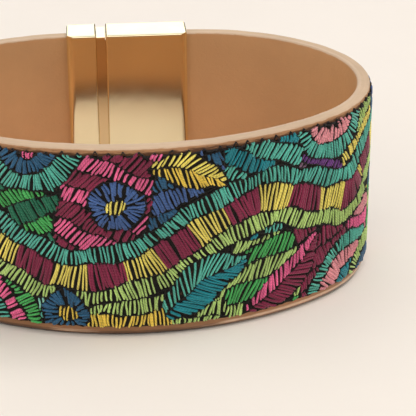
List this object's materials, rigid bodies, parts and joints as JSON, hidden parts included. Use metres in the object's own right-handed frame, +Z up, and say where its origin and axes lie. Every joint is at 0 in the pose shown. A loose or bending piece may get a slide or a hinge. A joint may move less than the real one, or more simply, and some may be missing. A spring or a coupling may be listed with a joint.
{
  "type": "leather wrap bracelet",
  "caption": "Wide leather bracelet with dense satin-stitch embroidery on its outer face, closed in one loop round the wrist by a flat gold-tone bar clasp.",
  "frame": {"origin": "middle of the bounding box at the surface that the bracelet stands on", "axes": "+X along the loop's longest side, +Y from the embroidered front to the clasp at the back, +Z up, along the axis that the wrist takes"},
  "size_m": [0.0704, 0.0512, 0.0294],
  "materials": {
    "tan_leather": "fine-grained tan leather, paler on its cut edges",
    "embroidery": "satin stitches of coloured cotton over a near-black ground",
    "gold_tone_metal": "polished pale gold plating"
  },
  "bodies": {
    "root": {"strap": "tan_leather", "embroidered_panel": "embroidery", "clasp_tongue_half": "gold_tone_metal", "clasp_socket_half": "gold_tone_metal"}
  },
  "joints": []
}
